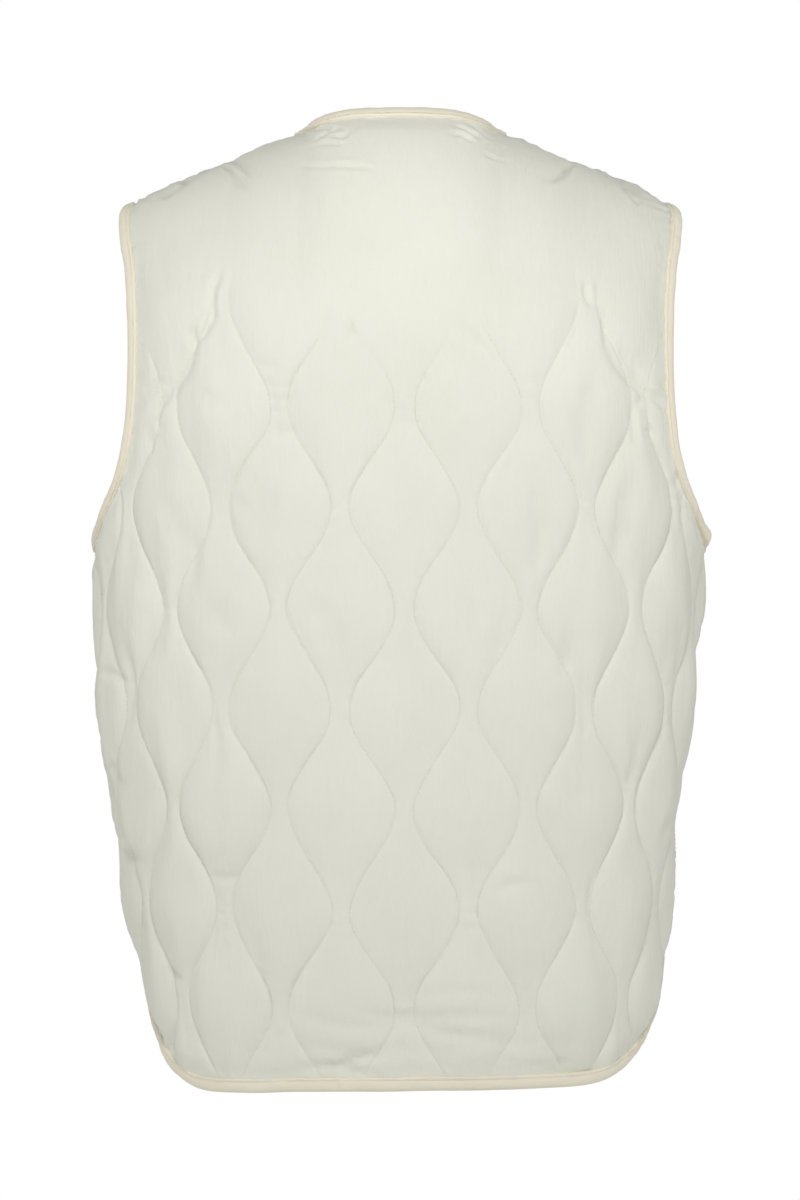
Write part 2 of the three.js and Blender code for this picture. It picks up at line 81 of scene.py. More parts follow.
# Shoulder ridge: distance from the middle, height
RIDGE = np.array([
    (0, 20), (20, 18.5), (40, 13), (55, 3), (67, -8), (80, -14.5),
    (100, -22), (120, -31.5), (145, -41), (170, -51.5), (200, -65), (230, -80),
], dtype=float)

# Armhole edge: height, distance behind and before the side seam
ARMHOLE = np.array([
    (-66, 0, 0), (-74, 19, 14), (-91, 37, 27), (-118, 58, 43), (-150, 73, 55), (-192, 83, 62),
    (-228, 84, 63), (-254, 77, 58), (-273, 63, 48), (-288, 44, 34), (-300, 21, 16), (-305, 0, 0),
], dtype=float)

# Neckline: distance from the middle, height
NECK_BACK = [(64, -6.5), (55, -4.5), (40, -3), (20, -2.5), (0, -2.5)]
NECK_SHOULDER_X = 67.5
NECK_FRONT = [
    (68.5, -14), (67, -29), (62, -46), (52, -63), (38, -77), (24, -87), (13, -94), (5.5, -101), (2, -110),
]
OPENING_X = 1.0
NECK_END_Z = -128.0

# Hem: angle from the middle, height on the left, height on the right
BACK_HEM = [
    (0, -688.5, -688.5), (20, -690.5, -689.5), (38, -694.5, -691), (48, -696.5, -691.5),
    (56, -695.5, -689.5), (63, -691, -684.5), (70, -683.5, -677), (77, -669, -664),
    (82, -655, -650), (86, -637, -633), (90, -612, -612), (96, -574, -574),
]
# Front hem: angle from the middle, height
FRONT_HEM = [
    (0.8, -656), (3, -670), (7, -682), (13, -688), (22, -690), (35, -690), (48, -689), (56, -686),
    (63, -680), (70, -672), (77, -662), (82, -650), (86, -633), (90, -612), (96, -574),
]
FRONT_EDGE_HEIGHTS = [-200, -300, -400, -500, -590, -625, -641]
# Pocket mouth: angle from the middle, height
POCKET_MOUTH = [(58, -398), (66.5, -445), (76, -495), (85.5, -541)]

BINDING_WIDTH = 10.0
NECK_WIDENING = 0.4  # share by which the neck binding is wider round the back
NECK_WIDE_FROM_Y = 75.0  # how far behind the shoulder seam it has that full width
TUCK = 4.0  # how far a panel's edge lies inside its binding
SEAM_GAP = 0.01  # half the gap between the back and a front at a seam
SEAM_DIP = 0.6  # how deep a seam lies in the cloth
SEAM_EASE = 5.0  # how far from a seam the relief is full
UNDER_TAPE = 3.7  # how thick the cloth is at most where the tape covers it
TAPE_SLOPE = 0.5  # how steeply it may rise beside the tape


class Side:
    """The back or the front half of the form: it faces +Y or -Y and rolls over into the shoulder ridge."""

    def __init__(self, sign, depth, roll, yoke):
        self.sign = sign
        self.depth = depth  # its column in the table of sections
        self.roll = roll  # height of the roll below the ridge
        self.yoke = yoke  # how much further down the taut cloth reaches in the middle


BACK = Side(1.0, BACK_DEPTH, roll=190.0, yoke=50.0)
FRONT = Side(-1.0, FRONT_DEPTH, roll=230.0, yoke=0.0)


# Form

def smooth(keys, values, at):
    """Values of a table at places between its rows, on a smooth curve."""
    slopes = np.empty_like(values)
    slopes[1:-1] = (values[2:] - values[:-2]) / (keys[2:] - keys[:-2])
    slopes[0] = (values[1] - values[0]) / (keys[1] - keys[0])
    slopes[-1] = (values[-1] - values[-2]) / (keys[-1] - keys[-2])
    at = np.clip(at, keys[0], keys[-1])
    i = np.clip(np.searchsorted(keys, at, side="right") - 1, 0, len(keys) - 2)
    span = keys[i + 1] - keys[i]
    t = (at - keys[i]) / span
    start, rise = values[i], values[i + 1] - values[i]
    first, last = slopes[i] * span, slopes[i + 1] * span
    return start + t * (first + t * (3 * rise - 2 * first - last + t * (first + last - 2 * rise)))


def section(column, z):
    return smooth(SECTIONS[:, 0], SECTIONS[:, column], z)


def half_width(z, left):
    return np.where(left, section(LEFT, z), section(RIGHT, z))


def side_depth(side, z):
    return section(side.depth, z)


def ridge_height(x):
    return smooth(RIDGE[:, 0], RIDGE[:, 1], np.abs(x))


def roll_square(side, x, z):
    """Square of the share of its full depth that the form has this far below the shoulder ridge."""
    t = np.clip((ridge_height(x) - z) / side.roll, 0, 1)
    return t * (2 - t)


def form_level(side, x, y, z):
    """Zero on the form, positive outside it."""
    across = x / half_width(z, x > 0)
    return y * y - side_depth(side, z) ** 2 * roll_square(side, x, z) * (1 - across * across)


def unit(vectors):
    return vectors / np.maximum(np.linalg.norm(vectors, axis=-1, keepdims=True), 1e-9)


def lengths_along(points):
    """Length of a row of points up to each of them."""
    return np.concatenate(([0.0], np.cumsum(np.linalg.norm(np.diff(points, axis=0), axis=1))))


def interpolated(at, keys, rows):
    return np.stack([np.interp(at, keys, rows[:, axis]) for axis in range(3)], axis=1)


def form_normal(side, points, step=0.5):
    x, y, z = points[..., 0], points[..., 1], points[..., 2]
    gradient = [
        form_level(side, x + step, y, z) - form_level(side, x - step, y, z),
        form_level(side, x, y + step, z) - form_level(side, x, y - step, z),
        form_level(side, x, y, z + step) - form_level(side, x, y, z - step),
    ]
    return unit(np.stack(gradient, axis=-1))


def point_at_angle(side, degrees, z):
    angle = math.radians(degrees)
    x = float(half_width(z, angle > 0)) * math.sin(angle)
    depth = float(side_depth(side, z)) * math.sqrt(float(roll_square(side, x, z)))
    return np.array((x, side.sign * depth * math.cos(angle), z))


def point_at_x(side, x, z):
    return point_at_angle(side, math.degrees(math.asin(x / float(half_width(z, x > 0)))), z)


HALVINGS = 40


def point_at_depth(side, depth, z, direction):
    """Point of the form this far behind or before the side seam."""
    inside, outside = 0.0, float(half_width(z, direction > 0))
    for _ in range(HALVINGS):
        middle = (inside + outside) / 2
        if form_level(side, direction * middle, depth, z) < 0:
            inside = middle
        else:
            outside = middle
    return np.array((direction * outside, side.sign * depth, z))


def quarter_ellipse(a, b):
    return math.pi / 4 * (3 * (a + b) - np.sqrt((3 * a + b) * (a + 3 * b)))


ARC_END = 118  # degrees round a section, well past the side seam
ARC_ANGLES = np.radians(np.linspace(0, ARC_END, 4 * ARC_END + 1))
CLOSE = 1e-6


def angle_at_length(side, length, along, left):
    """Angle round each row's section at which this much cloth has been laid from the middle."""
    result = np.empty_like(length)
    middles = (ARC_ANGLES[1:] + ARC_ANGLES[:-1]) / 2
    steps = np.diff(ARC_ANGLES)
    widths = half_width(along, left)
    depths = side_depth(side, along)
    for row in range(length.shape[0]):
        arcs = np.hypot(widths[row] * np.cos(middles), depths[row] * np.sin(middles)) * steps
        laid = np.concatenate(([0.0], np.cumsum(arcs)))
        result[row] = np.interp(length[row], laid, ARC_ANGLES)
    return result


def cloth_points(side, across, along):
    """Points of the form under points of the cloth, held at the side and shoulder seams."""
    rows = along[:, 0]
    angles_left = angle_at_length(side, np.abs(across), rows, True)
    angles_right = angle_at_length(side, np.abs(across), rows, False)
    left = across > 0
    angle = np.minimum(np.where(left, angles_left, angles_right), math.pi / 2)
    x = np.where(left, 1, -1) * half_width(along, left) * np.sin(angle)
    depth = side_depth(side, along) * np.cos(angle)
    roll_start = ridge_height(x) - side.roll
    turn = math.pi / 2 * (1 - (along - roll_start) / quarter_ellipse(side.roll, depth))
    rolled = along > roll_start
    past = rolled & (turn < 0)
    turn = np.clip(turn, 0, math.pi / 2)
    y = side.sign * depth * np.where(rolled, np.sin(turn), 1)
    z = np.where(rolled, roll_start + side.roll * np.cos(turn), along)
    beyond = (angle >= math.pi / 2 - CLOSE) | past
    return np.stack((x, y, z), axis=-1), beyond


# Edge curves

CURVE_SAMPLES = 4000


def resampled(points, step, closed=False):
    """Places a step apart along a smooth curve through the points."""
    points = np.array(points, dtype=float)
    if closed:
        points = np.concatenate((points[-2:], points, points[:3]))
    roots = np.sqrt(np.linalg.norm(np.diff(points, axis=0), axis=1))
    keys = np.concatenate(([0.0], np.cumsum(roots)))
    first, last = (keys[2], keys[-3]) if closed else (keys[0], keys[-1])
    samples = np.linspace(first, last, CURVE_SAMPLES)
    curve = np.stack([smooth(keys, points[:, axis], samples) for axis in range(3)], axis=1)
    lengths = lengths_along(curve)
    count = max(round(lengths[-1] / step), 2)
    places = interpolated(np.linspace(0, lengths[-1], count + 1), lengths, curve)
    return places[:-1] if closed else places


class Edge:
    """Frames along an edge of the cloth: place, direction into the cloth and direction out of it."""

    def __init__(self, points, towards, closed=False, step=2.0):
        self.closed = closed
        self.places = resampled(points, step, closed)
        if closed:
            tangents = np.roll(self.places, -1, axis=0) - np.roll(self.places, 1, axis=0)
        else:
            tangents = np.gradient(self.places, axis=0)
        self.tangents = unit(tangents)
        behind = form_normal(BACK, self.places)
        before = form_normal(FRONT, self.places)
        out = np.where(self.places[:, 1:2] > 0, behind, before)
        self.out = unit(out - self.tangents * np.sum(out * self.tangents, axis=1, keepdims=True))
        self.across = np.cross(self.tangents, self.out)
        if np.dot(self.across[0], towards) < 0:
            self.across = -self.across
        self.keys = lengths_along(self.looped(self.places))
        self.lengths = self.keys[:len(self.places)]
        self.wide = np.ones(len(self.places))

    def looped(self, values):
        """Values at the places, with the first once more at the end of a closed edge."""
        return np.concatenate((values, values[:1])) if self.closed else values

    def length_where(self, score):
        """Length along the edge at the place with the lowest score."""
        return self.lengths[int(np.argmin(score))]


def mirrored(points):
    return [point * np.array((-1, 1, 1)) for point in points]


def neck_points():
    shoulder = point_at_x(FRONT, NECK_SHOULDER_X, float(ridge_height(NECK_SHOULDER_X)))
    front = [point_at_x(FRONT, x, z) for x, z in reversed(NECK_FRONT)]
    end = point_at_x(FRONT, OPENING_X, NECK_END_Z)
    back = [point_at_x(BACK, x, z) for x, z in NECK_BACK]
    left = [end, *front, shoulder, *back]
    return left + mirrored(left[:-1])[::-1]


def armhole_points(direction):
    down = [point_at_depth(BACK, back, z, direction) for z, back, front in ARMHOLE]
    up = [point_at_depth(FRONT, front, z, direction) for z, back, front in ARMHOLE[1:-1]]
    return down + up[::-1]


def back_hem_points():
    left = [point_at_angle(BACK, angle, z) for angle, z, other in BACK_HEM]
    right = [point_at_angle(BACK, -angle, z) for angle, other, z in BACK_HEM]
    return left[::-1] + right[1:]


def front_edge_points(direction):
    top = point_at_x(FRONT, direction * OPENING_X, NECK_END_Z)
    edge = [point_at_x(FRONT, direction * OPENING_X, z) for z in FRONT_EDGE_HEIGHTS]
    hem = [point_at_angle(FRONT, direction * angle, z) for angle, z in FRONT_HEM]
    return [top, *edge, *hem]


def pocket_points(direction):
    return [point_at_angle(FRONT, direction * angle, z) for angle, z in POCKET_MOUTH]


SIDES = {"left": 1.0, "right": -1.0}
EDGES = {
    "neck": Edge(neck_points(), (1, 0, 0)),
    "back_hem": Edge(back_hem_points(), (0, 1, 0)),
}
for side_name, direction in SIDES.items():
    EDGES[f"armhole_{side_name}"] = Edge(armhole_points(direction), (-direction, 0, 0), closed=True)
    EDGES[f"front_{side_name}"] = Edge(front_edge_points(direction), (direction, 0, 0))
    EDGES[f"pocket_{side_name}"] = Edge(pocket_points(direction), (direction, 0, 0))
EDGES["neck"].wide += NECK_WIDENING * np.clip(EDGES["neck"].places[:, 1] / NECK_WIDE_FROM_Y, 0, 1)


class Nearest:
    """Finds the nearest place on several edges, or on their halves on one side, for many points."""

    def __init__(self, edges, direction=0):
        on_side = [edge.places[:, 0] * direction >= 0 for edge in edges]

        def joined(name):
            return np.concatenate([getattr(edge, name)[kept] for edge, kept in zip(edges, on_side)])

        self.places, self.across, self.out = joined("places"), joined("across"), joined("out")
        self.wide, self.lengths = joined("wide"), joined("lengths")
        self.tree = KDTree(len(self.places))
        for i, place in enumerate(self.places):
            self.tree.insert(place, i)
        self.tree.balance()

    def find(self, points):
        flat = points.reshape(-1, 3)
        index = np.array([self.tree.find(point)[1] for point in flat])
        inward = np.sum((flat - self.places[index]) * self.across[index], axis=1) / self.wide[index]
        shape = points.shape[:-1]
        return index.reshape(shape), inward.reshape(shape)

    def distance(self, points):
        flat = points.reshape(-1, 3)
        return np.array([self.tree.find(point)[2] for point in flat]).reshape(points.shape[:-1])


# Relief of the cloth

WAVE_SPREAD = 0.7  # how far the waves of a ripple differ from its mean wavelength
WAVE_PEAK = 1.6  # how far their sum rises above its usual size


def waves(seed, across, along, length_across, length_along, count=14):
    """Even random ripple between about -1 and 1, with a mean wavelength each way."""
    rng = np.random.default_rng(seed)
    total = np.zeros_like(across)
    for _ in range(count):
        a = rng.normal(0, 1) * TAU / length_across * WAVE_SPREAD
        b = rng.normal(0, 1) * TAU / length_along * WAVE_SPREAD
        total += np.sin(a * across + b * along + rng.uniform(0, TAU))
    return total / math.sqrt(count / 2) / WAVE_PEAK


def quilt_line(index, along):
    swing = LINE_SWING * np.cos(TAU * (along - ROW_LEVEL) / ROW_PERIOD)
    return (index - 0.5) * LINE_PITCH + np.where(index % 2 == 0, -swing, swing)


# Creases, each bowed a little: start and end across and along the cloth, half-width, depth or minus a height
BACK_CREASES = [
    (-276, -508, -276, -540, 9, 3.6), (277, -554, 277, -536, 6, 2.2),
    (-148, 24, -95, 46, 14, 1.3), (-160, 12, -196, -20, 12, -1.8),
    (101, -265, 86, -316, 4.5, 1.9), (112, -279, 93, -320, 4, 1.5),
    (-91, -260, -94, -329, 5, 2.2), (-132, -255, -136, -195, 5, 1.9),
    (-158, -324, -173, -261, 5, 1.8), (60, -348, 46, -393, 5, 1.6),
    (-53, -393, -48, -338, 4.5, 1.1), (-120, -348, -115, -403, 5, 1.5),
    (120, -376, 127, -348, 4.5, 1.3), (170, -278, 164, -310, 4.5, 1.2),
    (135, -207, 130, -223, 4.5, 1.1), (268, -403, 216, -409, 3.5, 1.8),
    (260, -530, 208, -535, 3.5, 1.8), (170, -617, 187, -611, 3.2, 1.8),
    (112, -541, 137, -542, 3, 1.2), (-23, -635, 32, -631, 4, 1.1),
    (-71, -650, -5, -640, 5, 1.3), (71, -675, 23, -677, 3, 2),
    (-159, -680, -102, -678, 3, 1.8), (-65, -552, -90, -544, 4, 1.3),
    (102, -192, 85, -192, 3, 0.9), (153, -184, 183, -215, 7, 1.6),
    (148, -182, 150, -170, 3, 1.2), (-157, -185, -183, -211, 5, 1.4),
    (-38, -162, -73, -207, 3.5, 0.9), (69, -234, 91, -234, 3, 0.9),
    (33, -160, 33, -172, 2.6, 0.9), (151, 12, 186, -55, 6, 1.2),
    (128, 20, 111, -49, 5, 1), (-123, 0, -106, -47, 5, 1),
    (-156, 10, -185, -59, 6, 1.2), (-168, -262, -160, -318, 5, 0.8),
    (-5, -640, 78, -634, 5, 0.9), (20, -648, -86, -640, 5.5, 1),
    (-14, -658, 71, -655, 4.5, 0.8), (5, -627, -70, -622, 5, 0.7),
    (-20, -664, -92, -660, 4, 0.7), (45, -672, 14, -664, 2.6, 2),
    (219, -535, 251, -526, 4, 1.8), (256, -470, 226, -484, 4, 1.2),
    (-216, -520, -240, -505, 4, 1.2), (184, -657, 205, -674, 4, 1.4),
    (151, -300, 153, -350, 5, 0.9), (48, -330, 52, -382, 5, 0.9),
    (-70, -346, -64, -400, 5, 0.9), (-48, -521, -44, -566, 5, 0.7),
    (30, -470, 36, -516, 5, 0.7), (-148, -590, -143, -540, 4, 0.8),
    (108, -560, 104, -606, 4.5, 0.7), (134, -430, 130, -476, 4.5, 0.7),
    (-128, -404, -132, -452, 4.5, 0.8), (-176, -440, -172, -486, 4.5, 0.8),
    (214, -380, 218, -436, 5, 1), (-222, -352, -228, -410, 5, 1.1),
]
# Sharp creases of the back: half-width, depth, places across and along the cloth
BACK_LINES = [
    (2.6, 1.7, [(128, -132), (133, -142), (134, -150), (133, -161)]),
    (2.4, 2.6, [(132, -160), (137, -168), (144, -178)]),
    (2.2, 2, [(148, -166), (149, -175), (148, -184)]),
    (3, 2.6, [(148, -183), (153, -194), (162, -203), (169, -209)]),
    (2.2, 2.4, [(169, -207), (180, -208), (192, -212)]),
    (2.6, 3, [(171, -214), (178, -217), (185, -226)]),
    (2.4, 1.7, [(194, -216), (203, -219)]),
    (2.2, 1.7, [(193, -225), (189, -230), (188, -246)]),
    (2.6, 1.9, [(210, -112), (217, -115), (220, -123)]),
    (2.4, 1.6, [(212, -229), (210, -234), (218, -239)]),
    (2.4, 1.8, [(-132, -139), (-133, -149), (-137, -152)]),
    (2.4, 2, [(-148, -154), (-148, -169), (-148, -181)]),
    (2.8, 2.4, [(-148, -180), (-155, -192), (-168, -203)]),
    (2.6, 3.4, [(-168, -202), (-183, -211), (-196, -217), (-209, -226)]),
    (2.2, 2.2, [(-196, -217), (-206, -212)]),
    (2, 1.8, [(-199, -209), (-210, -210)]),
    (2.2, 1.4, [(-175, -217), (-183, -217)]),
    (2.2, 1.3, [(-172, -219), (-173, -242)]),
    (2.6, 1.4, [(-126, -169), (-120, -178)]),
    (2.4, 1.7, [(-181, -234), (-191, -235)]),
    (2.2, 2.2, [(71, 46), (65, 9), (56, -9)]),
    (2, 2, [(65, 32), (56, 14), (49, 5), (44, -3)]),
    (2, 1.8, [(56, -8), (48, -2), (43, -2)]),
    (2, 1.6, [(45, -11), (39, -15), (35, -10)]),
    (2, 1.5, [(57, -14), (40, -23)]),
    (1.9, 1.5, [(68, -34), (53, -43), (20, -50)]),
    (2.2, 2, [(-38, 1), (-45, 0), (-53, -7)]),
    (2, 2, [(-35, -12), (-42, -11), (-48, -16)]),
    (2, 1.6, [(-50, 15), (-57, 4), (-60, -3)]),
    (2, 1.4, [(-57, -28), (-69, -28)]),
    (2.4, 1.8, [(130, -4), (119, -31), (109, -56)]),
    (2.6, 2.4, [(180, -56), (167, -29), (157, 18), (134, 34)]),
    (2.2, 1.6, [(159, 16), (150, 23), (144, 27)]),
    (2.4, 1.8, [(-111, -44), (-118, -31), (-126, -5)]),
    (2.6, 2.4, [(-133, 34), (-154, 20), (-173, -44), (-183, -65)]),
    (2.2, 1.6, [(-146, 25), (-156, 19), (-162, 14)]),
]
# Creases and sharp creases of the left front, which the right one has on its other side
FRONT_CREASES = [
    (128, -170, 178, -226, 3.4, 2.2), (150, -56, 128, 4, 4.5, 1.8),
    (96, -18, 84, -62, 4, 1.4), (70, -78, 50, -104, 3.5, 1.3),
    (60, -236, 66, -310, 5, 1.2), (112, -262, 108, -330, 5, 1),
    (34, -388, 30, -452, 5, 0.9), (148, -352, 152, -398, 5, 0.9),
    (92, -470, 96, -530, 5, 0.9), (24, -640, 92, -634, 5, 0.9),
    (40, -658, 118, -655, 4.5, 0.9), (196, -562, 226, -548, 4, 1.4),
    (192, -452, 214, -470, 4, 1.1), (20, -152, 52, -176, 4, 1),
    (174, -618, 190, -640, 4, 1.1),
]
FRONT_LINES = [
    (2.4, 2.2, [(132, -128), (138, -142), (139, -158), (146, -174), (160, -188)]),
    (2.6, 2.4, [(150, -176), (164, -196), (181, -208)]),
    (2.2, 1.8, [(168, -212), (178, -222), (180, -234)]),
    (2.2, 1.6, [(156, 20), (140, 4), (118, 2)]),
    (2, 1.5, [(84, -20), (96, -10), (98, 4)]),
    (2, 1.4, [(60, -70), (72, -74), (84, -70)]),
]

CREASE_DEPTH = 1.3  # how much deeper the creases are than their tables say
CREASE_BOW = 0.07  # how far they bow, as a share of their length
UPRIGHT_DEEPER = 0.9  # by what share upright folds are deeper than level ones
LIP = 0.38  # how high the cloth rises beside a sharp crease, as a share of its depth
LIP_PLACE = 2.1  # how far from the crease, in half-widths
CREASE_REACH = 5  # how far a sharp crease has any effect, in half-widths


def crease_depth(creases, across, along):
    """Soft troughs and ridges placed one by one, which fade out towards both ends."""
    total = np.zeros_like(across)
    for x0, z0, x1, z1, width, depth in creases:
        dx, dz = x1 - x0, z1 - z0
        length = math.hypot(dx, dz)
        a, b = across - x0, along - z0
        t = (a * dx + b * dz) / length ** 2
        bow = CREASE_BOW * length * np.sin(np.clip(t, 0, 1) * math.pi)
        off = (a * dz - b * dx) / length - bow
        over = np.maximum(np.maximum(-t, t - 1), 0) * length
        ends = np.clip(np.minimum(t, 1 - t) * 2.6 + 0.25, 0, 1)
        deep = CREASE_DEPTH * depth * (1 + UPRIGHT_DEEPER * abs(dz) / length)
        total += deep * ends * np.exp(-(off / width) ** 2 - (over / (1.6 * width)) ** 2)
    return total


def line_depth(lines, across, along):
    """Sharp creases that follow drawn lines, with the cloth pushed up a little on both sides."""
    total = np.zeros_like(across)
    for width, depth, places in lines:
        places = np.array(places, dtype=float)
        drawn = resampled(np.pad(places, ((0, 0), (0, 1))), 1.0)[:, :2]
        reach = np.ptp(drawn, axis=0).max() + CREASE_REACH * width
        near = np.hypot(across - drawn[0, 0], along - drawn[0, 1]) < reach
        if not near.any():
            continue
        gaps = np.hypot(across[near][:, None] - drawn[:, 0], along[near][:, None] - drawn[:, 1])
        off = gaps.min(axis=1) / width
        share = gaps.argmin(axis=1) / (len(drawn) - 1)
        ends = np.clip(np.minimum(share, 1 - share) * 4 + 0.3, 0, 1)
        lips = LIP * np.exp(-((off - LIP_PLACE) / 0.8) ** 2)
        total[near] += depth * ends * (np.exp(-off ** 2) - lips)
    return total


def eased(share):
    share = np.clip(share, 0, 1)
    return share * share * (3 - 2 * share)


# Shares across a strip of cloth between two lines, closest beside the lines
STRIP_SHARES = (0, 0.022, 0.06, 0.12, 0.2, 0.3, 0.4, 0.5, 0.6, 0.7, 0.8, 0.88, 0.94, 0.978)
STRIP_COLUMNS = len(STRIP_SHARES)
ROW_STEP = 2.7
GRID_LOW = -705
GRID_HIGH = 135  # along the cloth, past its shoulder seams
FAR = 1000.0

# Random ripples of the cloth: draw, wavelength across and along
RIPPLES = {
    "soft": (0, 90, 110),
    "pucker": (1, 60, 60), "pucker_phase": (2, 40, 30),
    "gather_phase": (3, 50, 50), "gather": (4, 45, 45),
    "upright": (5, 11, 60), "small": (6, 16, 12),
    "sag": (8, 24, 100),
    "thread_pull": (9, 75, 60),
    "rumple": (10, 13, 9), "wide_rumple": (12, 24, 16), "patch": (13, 60, 60),
    "shoulder": (14, 13, 30),
    "narrow": (15, 50, 40), "narrow_phase": (16, 40, 40),
}
WANDER_DRAW = 7

# Heights of the small forms, and how far they reach from a line or an edge
PUCKER_HEIGHT, PUCKER_LENGTH, PUCKER_REACH = 0.42, 8.1, 5.0
GATHER_HEIGHT, GATHER_LENGTH, GATHER_REACH = 0.6, 10.5, 6.0
UPRIGHT_HEIGHT = 0.2
SMALL_HEIGHT = 0.16
SAG_HEIGHT = 1.05
NARROW_HEIGHT, NARROW_LENGTH, NARROW_STRIP = 0.6, 9.5, 22.0
RUMPLE_HEIGHT, RUMPLE_REACH = 0.5, 22.0
SHOULDER_HEIGHT, SHOULDER_REACH = 1.2, 20.0


class Cloth:
    """Places of a panel's cloth, in rows up it and in columns between two wandering quilting lines."""

    def __init__(self, side, first_line, last_line, shift, seed):
        self.side = side
        self.seed = seed
        columns = (last_line - first_line) * STRIP_COLUMNS
        rows = round((GRID_HIGH - GRID_LOW) / ROW_STEP) // 2 * 2
        column, row = np.meshgrid(np.arange(columns + 1), np.arange(rows + 1))
        self.line = first_line + column // STRIP_COLUMNS
        self.share = np.array(STRIP_SHARES)[column % STRIP_COLUMNS]
        self.along = GRID_LOW + ROW_STEP * row
        start = self.line_place(self.line)
        self.width = self.line_place(self.line + 1) - start
        self.across = start + self.share * self.width + shift

    def line_place(self, line):
        stray = waves(self.seed + WANDER_DRAW, line * 40.0, self.along, 60, 45, count=8)
        return quilt_line(line, self.along) + LINE_WANDER * stray

    def measure(self, points, inward, edge_length):
        """Distances from the tapes, the side and shoulder seams and the pocket mouths."""
        self.edge_length = edge_length
        self.from_seam = np.maximum(self.side.sign * points[..., 1] - SEAM_GAP, 0)
        self.from_tape = inward - BINDING_WIDTH
        self.from_sewn = np.maximum(np.minimum(self.from_tape, self.from_seam), 0)
        self.from_mouth = np.full_like(inward, FAR)
        if self.side is FRONT:
            self.from_mouth = Nearest([EDGES["pocket_left"], EDGES["pocket_right"]]).distance(points)

    def ripple(self, name):
        draw, length_across, length_along = RIPPLES[name]
        return waves(self.seed + draw, self.across, self.along, length_across, length_along)

    def yoke_share(self):
        """One over the shoulders, where the cloth is taut, zero where the quilting is full."""
        start = YOKE_LOW - self.side.yoke * np.exp(-(self.across / YOKE_MIDDLE) ** 2)
        return eased((self.along - start) / YOKE_FADE + 1)

    def taut_share(self):
        """The same, and one beside the armholes and the neck too."""
        beside_edge = eased(1 - (self.from_tape - 10) / 22) * eased((self.along + 250) / 40)
        return np.maximum(self.yoke_share(), beside_edge)


def padded(cloth, taut, bulge, calm):
    """Rise of the wadding between two lines, and of the taut cloth over the shoulders."""
    full = (cloth.width / (LINE_PITCH + 2 * LINE_SWING)) ** 0.85
    lift = PUFF * full * bulge * calm * (1 - taut) + YOKE_PUFF * taut
    soft = 1 + 0.22 * cloth.ripple("soft")
    beside_tape = 0.12 + 0.88 * eased(cloth.from_tape / EDGE_FADE)
    beside_seam = 0.1 + 0.9 * eased(cloth.from_seam / SEAM_FADE)
    beside_mouth = 0.4 + 0.6 * eased((cloth.from_mouth - 8) / 14)
    return lift * soft * beside_tape * beside_seam * beside_mouth


def sewn_lines(cloth, taut):
    """The groove that the thread pulls in along each line, and the puckers beside it."""
    to_line = np.minimum(cloth.share, 1 - cloth.share) * cloth.width
    drawn = np.clip(0.6 + 0.7 * cloth.ripple("thread_pull"), 0.1, 1.4)
    groove = GROOVE * drawn * np.exp(-(to_line / 0.9) ** 2)
    beside = np.exp(-to_line / PUCKER_REACH) * (1 - np.exp(-to_line / 0.8))
    uneven = 0.5 + 0.6 * cloth.ripple("pucker")
    phase = 2.1 * cloth.line + 1.9 * cloth.ripple("pucker_phase")
    pucker = PUCKER_HEIGHT * beside * uneven * np.sin(TAU * cloth.along / PUCKER_LENGTH + phase)
    return (pucker - groove) * (1 - 0.97 * taut)


def gathers(cloth):
    """Short folds that run in from the tapes and the seams."""
    phase = 2.2 * cloth.ripple("gather_phase")
    folds = np.sin(TAU * cloth.edge_length / GATHER_LENGTH + phase)
    uneven = 0.5 + 0.6 * cloth.ripple("gather")
    return GATHER_HEIGHT * np.exp(-cloth.from_sewn / GATHER_REACH) * folds * uneven


def loose_cloth(cloth, taut, bulge, calm):
    """Ripples and sags between the lines, and small folds where two lines come close."""
    ripple = UPRIGHT_HEIGHT * cloth.ripple("upright")
    ripple += SMALL_HEIGHT * cloth.ripple("small")
    sag = SAG_HEIGHT * np.clip(cloth.ripple("sag"), -0.6, 1.6) * (0.35 + 0.75 * calm)
    loose = (0.25 + 0.75 * bulge) * (ripple * (1 - 0.6 * taut) + sag * (1 - 0.85 * taut))
    narrow = np.exp(-(cloth.width / NARROW_STRIP) ** 2) * (1 - taut)
    uneven = np.clip(cloth.ripple("narrow"), 0, 1.5)
    folds = np.sin(TAU * cloth.along / NARROW_LENGTH + 2.0 * cloth.ripple("narrow_phase"))
    return loose + NARROW_HEIGHT * narrow * uneven * folds


def crumpled(cloth):
    """Rumpled cloth along the edges, and ripples over the shoulders."""
    rumple = cloth.ripple("rumple") + 0.8 * cloth.ripple("wide_rumple")
    patches = np.clip(0.4 + 0.8 * cloth.ripple("patch"), 0, 1.5)
    at_edge = np.exp(-cloth.from_sewn / RUMPLE_REACH) * np.clip(cloth.from_seam / 6.0, 0, 1)
    on_shoulder = np.exp(-cloth.from_seam / SHOULDER_REACH) * np.clip((cloth.along + 90) / 30, 0, 1)
    shoulder = SHOULDER_HEIGHT * on_shoulder * cloth.ripple("shoulder")
    return RUMPLE_HEIGHT * at_edge * rumple * patches + shoulder


